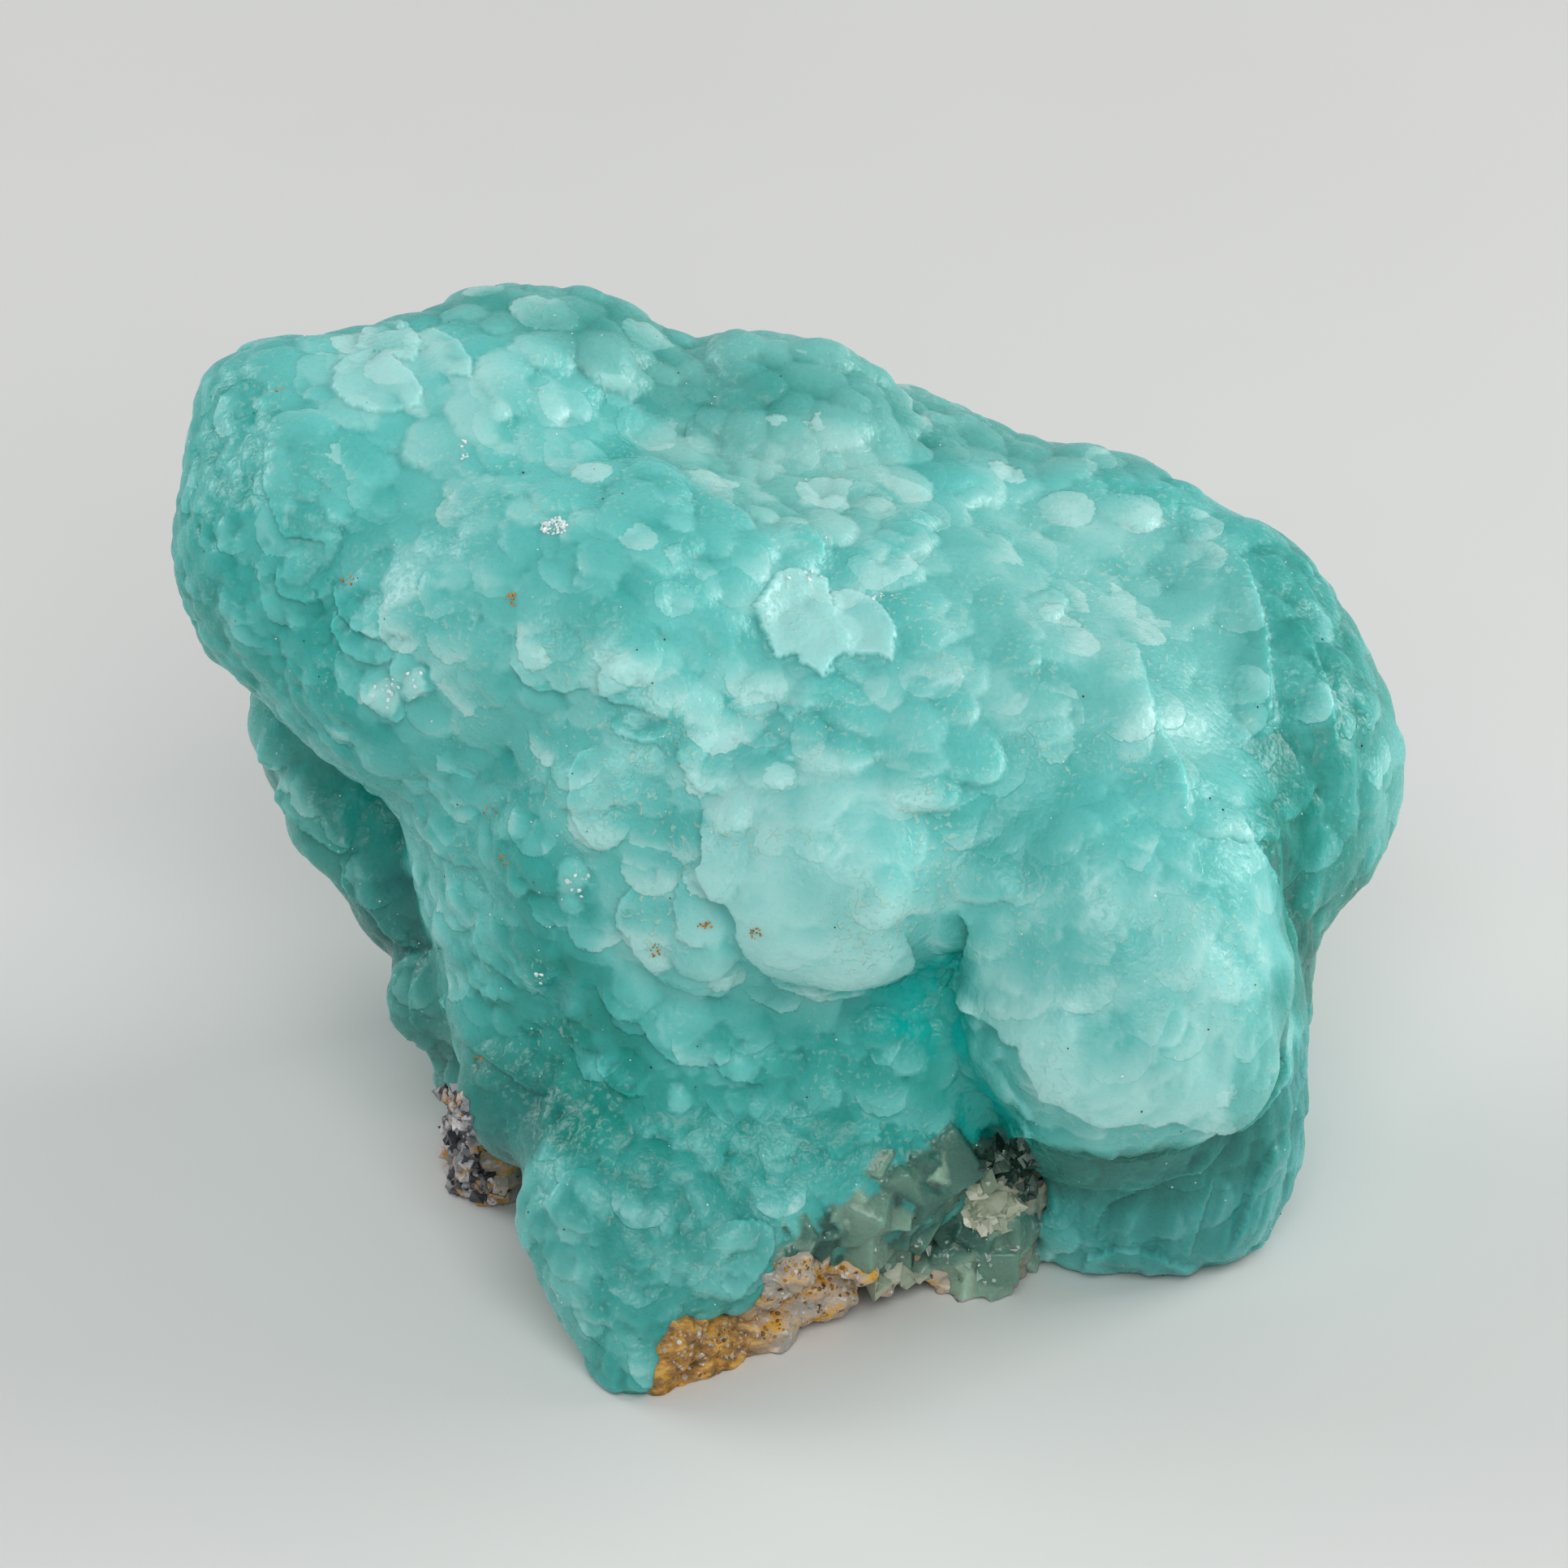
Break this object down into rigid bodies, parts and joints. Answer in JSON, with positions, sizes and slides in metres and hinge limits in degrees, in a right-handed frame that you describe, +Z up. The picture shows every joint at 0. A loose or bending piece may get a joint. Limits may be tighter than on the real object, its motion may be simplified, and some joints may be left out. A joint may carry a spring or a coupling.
{
  "type": "smithsonite specimen",
  "caption": "Lobed hand specimen of blue-green botryoidal smithsonite on a scrap of brown host rock, standing on its own base.",
  "frame": {"origin": "on the surface that the specimen stands on, under the middle of its bounding box", "axes": "+Z up; +X along the long side of the specimen, from its high hump towards its round bulge; -Y towards the face with the overhanging lobes"},
  "size_m": [0.0808, 0.0574, 0.054],
  "materials": {
    "smithsonite": "translucent blue-green mineral with a waxy to glassy lustre, paler on raised plates",
    "host_rock": "dull, grainy rock stained ochre and brown by limonite, with grey and white grains"
  },
  "bodies": {
    "root": {"smithsonite": "smithsonite", "host_rock": "host_rock"}
  },
  "joints": []
}
